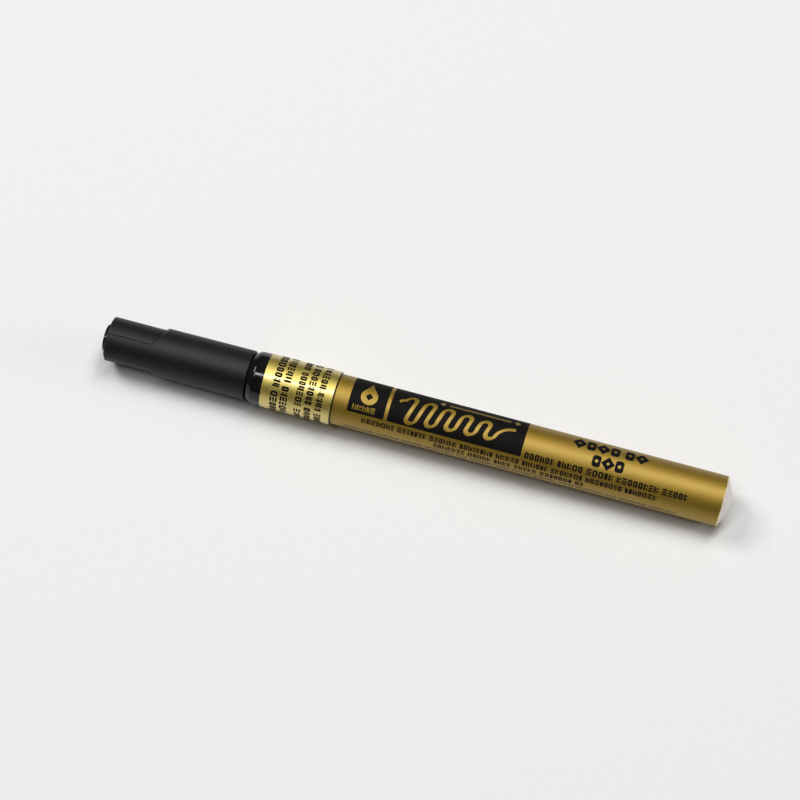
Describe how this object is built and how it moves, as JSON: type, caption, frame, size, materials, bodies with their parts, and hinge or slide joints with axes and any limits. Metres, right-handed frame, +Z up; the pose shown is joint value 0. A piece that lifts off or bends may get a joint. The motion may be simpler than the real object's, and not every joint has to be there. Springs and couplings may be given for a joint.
{
  "type": "paint marker",
  "caption": "Slim capped paint marker for calligraphy, lying on its side: metal barrel, snap cap, sprung nib valve and a loose ball that stirs the paint.",
  "frame": {"origin": "on the surface that the pen lies on, under the middle of its length and width", "axes": "+X along the pen from the cap end to the tail, +Z up from the surface, +Y across the pen"},
  "size_m": [0.139, 0.0118, 0.0118],
  "materials": {
    "gold_barrel": "satin gold lacquer over aluminium, bare at the tail",
    "gold_label": "pale gold metallised film",
    "matte_black": "fine satin moulding",
    "gloss_black": "polished moulding",
    "liner_black": "smooth moulding",
    "natural_plastic": "uncoloured moulding",
    "grey_plastic": "smooth moulding",
    "nib_ivory": "extruded, dry",
    "black_rubber": "moulded",
    "spring_steel": "drawn wire",
    "ball_steel": "polished"
  },
  "bodies": {
    "pen": {"barrel": "gold_barrel", "neck_bush": "natural_plastic", "front_section": "gloss_black", "safety_label": "gold_label", "valve_gasket": "black_rubber", "valve_body": "natural_plastic", "valve_seat": "black_rubber", "spring_retainer": "grey_plastic", "valve_spring": "spring_steel"},
    "cap": {"cap_shell": "matte_black", "cap_liner": "liner_black"},
    "nib": {"nib": "nib_ivory", "nib_holder": "grey_plastic", "valve_stem": "natural_plastic"},
    "ball": {"mixing_ball": "ball_steel"}
  },
  "joints": [
    {"name": "cap_pull", "type": "slide", "parent": "pen", "child": "cap", "axis": [-1, 0, 0], "range_m": [0, 0.045]},
    {"name": "nib_press", "type": "slide", "parent": "pen", "child": "nib", "axis": [1, 0, 0], "range_m": [0, 0.0019], "stiffness_N_per_m": 630, "springref_m": -0.003, "deforming": ["valve_spring"]},
    {"name": "ball_travel", "type": "slide", "parent": "pen", "child": "ball", "axis": [1, 0, 0], "range_m": [-0.0495, 0.0205]}
  ]
}
